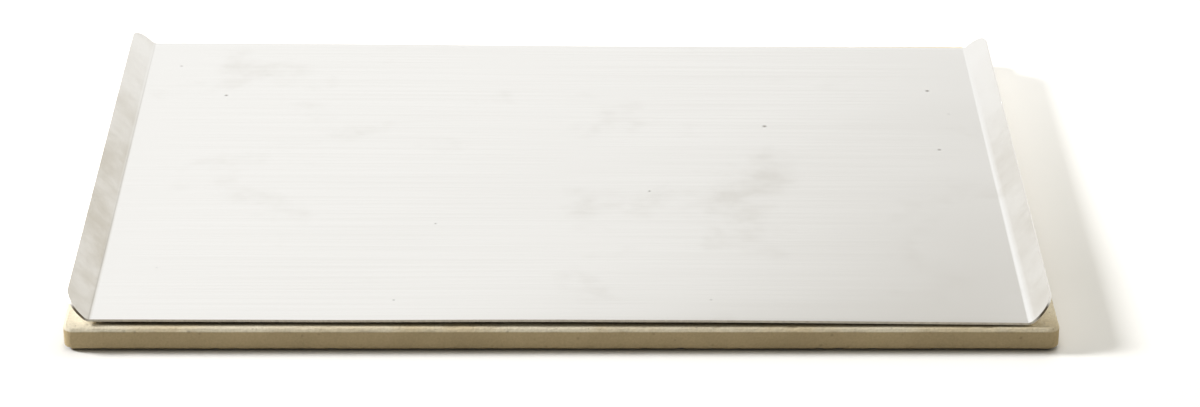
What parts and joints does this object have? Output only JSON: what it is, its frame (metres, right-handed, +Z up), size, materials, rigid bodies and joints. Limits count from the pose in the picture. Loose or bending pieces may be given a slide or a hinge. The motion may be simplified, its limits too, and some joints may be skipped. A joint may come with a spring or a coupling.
{
  "type": "pizza stone",
  "caption": "Rectangular fired-ceramic pizza stone with chamfered edges, and a loose folded-sheet aluminium serving tray whose flared side lips are gripped to lift it off.",
  "frame": {"origin": "centre of the stone's underside, on the surface that it rests on", "axes": "+X along the stone's long side, +Y from the front to the back, +Z up"},
  "size_m": [0.44, 0.3, 0.0215],
  "materials": {
    "cordierite": "matte",
    "mill_aluminium": "satin"
  },
  "bodies": {
    "stone": {"baking_stone": "cordierite"},
    "tray": {"serving_tray": "mill_aluminium"}
  },
  "joints": [
    {"name": "tray_lift", "type": "slide", "parent": "stone", "child": "tray", "axis": [0, 0, 1], "range_m": [0, 0.15]}
  ]
}
